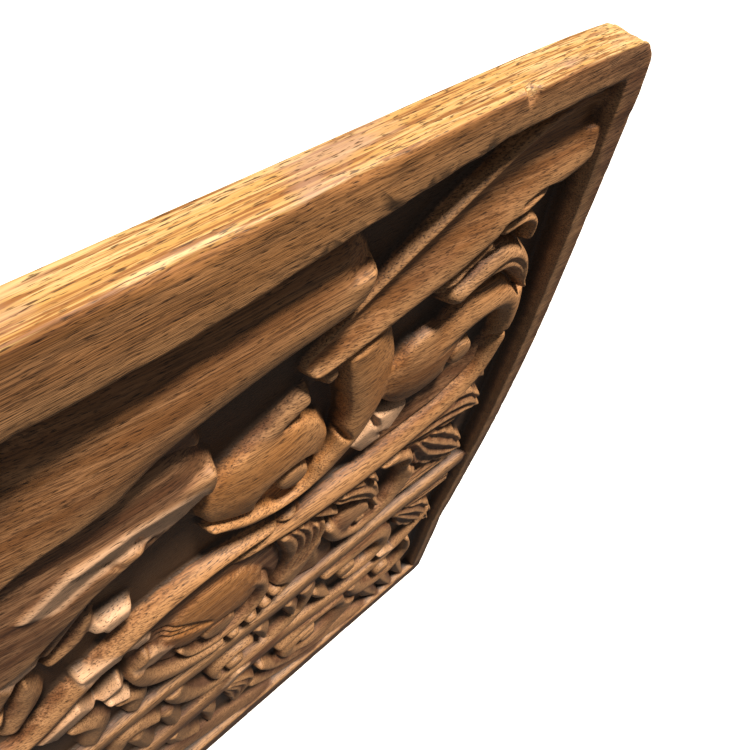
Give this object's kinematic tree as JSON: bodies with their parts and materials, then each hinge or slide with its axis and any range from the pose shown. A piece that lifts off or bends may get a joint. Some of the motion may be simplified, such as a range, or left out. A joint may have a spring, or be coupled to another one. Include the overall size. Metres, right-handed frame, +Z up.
{
  "type": "carved wall panel",
  "caption": "Hardwood wall panel carved in deep relief with scrolling stems, volutes and acanthus leaves inside a plain raised border.",
  "frame": {"origin": "centre of the flat back face, where the panel lies against a wall", "axes": "+Z up the panel, +X to the viewer's right, +Y into the wall, so the carved front faces -Y"},
  "size_m": [0.6974, 0.025, 0.925],
  "materials": {
    "carved_teak": "hand carved hardwood, dry and worn, darker in the recesses and golden where the edges are rubbed bare"
  },
  "bodies": {
    "root": {"carved_panel": "carved_teak"}
  },
  "joints": []
}
